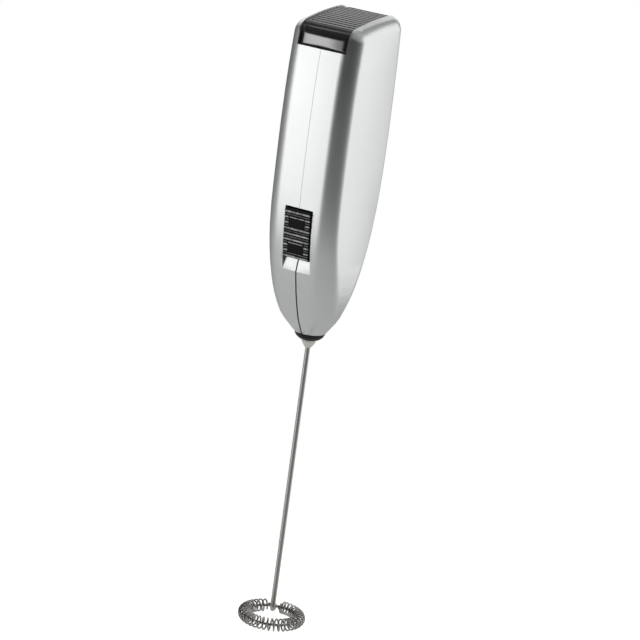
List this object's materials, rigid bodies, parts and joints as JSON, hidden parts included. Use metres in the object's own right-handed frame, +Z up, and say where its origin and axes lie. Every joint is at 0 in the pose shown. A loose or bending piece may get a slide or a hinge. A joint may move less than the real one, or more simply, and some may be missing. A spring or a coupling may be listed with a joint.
{
  "type": "milk frother",
  "caption": "Battery milk frother: a long two-shell handle with a sliding switch and a sliding battery lid, and a thin shaft that ends in a coiled wire ring.",
  "frame": {"origin": "on the drive axis, at the lower face of the nose ring, where the whisk's hub leaves the handle", "axes": "+Z up the drive axis from the whisk to the battery lid, -Y out of the switch's face, +X to the right of someone looking at the switch"},
  "size_m": [0.0264, 0.0353, 0.2134],
  "materials": {
    "silver_satin": "satin silver paint on plastic",
    "black_plastic": "moulded black",
    "lid_black": "glossy black with a fine ribbed top",
    "switch_black": "moulded black with grip ribs",
    "cell_can": "printed sleeve, bare here",
    "nickel": "nickel plate",
    "motor_steel": "plated steel",
    "ferrite": "sintered ferrite",
    "bronze": "sintered bronze",
    "copper": "copper alloy strip",
    "winding_wire": "enamelled wire",
    "white_plastic": "moulded white",
    "cream_plastic": "moulded cream",
    "whisk_steel": "stainless wire",
    "coil_steel": "bright stainless wire"
  },
  "bodies": {
    "handle": {"left_shell": "silver_satin", "right_shell": "silver_satin", "nose_ring": "black_plastic", "chassis": "black_plastic", "front_cell": "cell_can", "rear_cell": "cell_can", "spring_contact": "nickel", "button_contact": "nickel", "motor_can": "motor_steel", "motor_magnets": "ferrite", "motor_bush": "bronze", "motor_end_cap": "white_plastic", "motor_brushes": "copper", "motor_terminals": "copper", "feed_strip": "copper", "switch_strip": "copper", "motor_strip": "copper"},
    "whisk": {"coupling_hub": "cream_plastic", "whisk_shaft": "whisk_steel", "whisk_ring": "whisk_steel", "whisk_coil": "coil_steel", "motor_shaft": "motor_steel", "rotor_core": "motor_steel", "rotor_windings": "winding_wire", "commutator": "copper"},
    "lid": {"battery_lid": "lid_black", "lid_contact": "nickel"},
    "switch": {"switch_knob": "switch_black", "switch_slider": "white_plastic", "switch_bridge": "copper"}
  },
  "joints": [
    {"name": "whisk_spin", "type": "hinge", "parent": "handle", "child": "whisk", "pos_m": [0, 0, 0], "axis": [0, 0, 1], "continuous": true},
    {"name": "lid_slide", "type": "slide", "parent": "handle", "child": "lid", "axis": [0, -1, 0], "range_m": [0, 0.024]},
    {"name": "switch_slide", "type": "slide", "parent": "handle", "child": "switch", "axis": [0, 0.1444, -0.9895], "range_m": [0, 0.0044]}
  ]
}
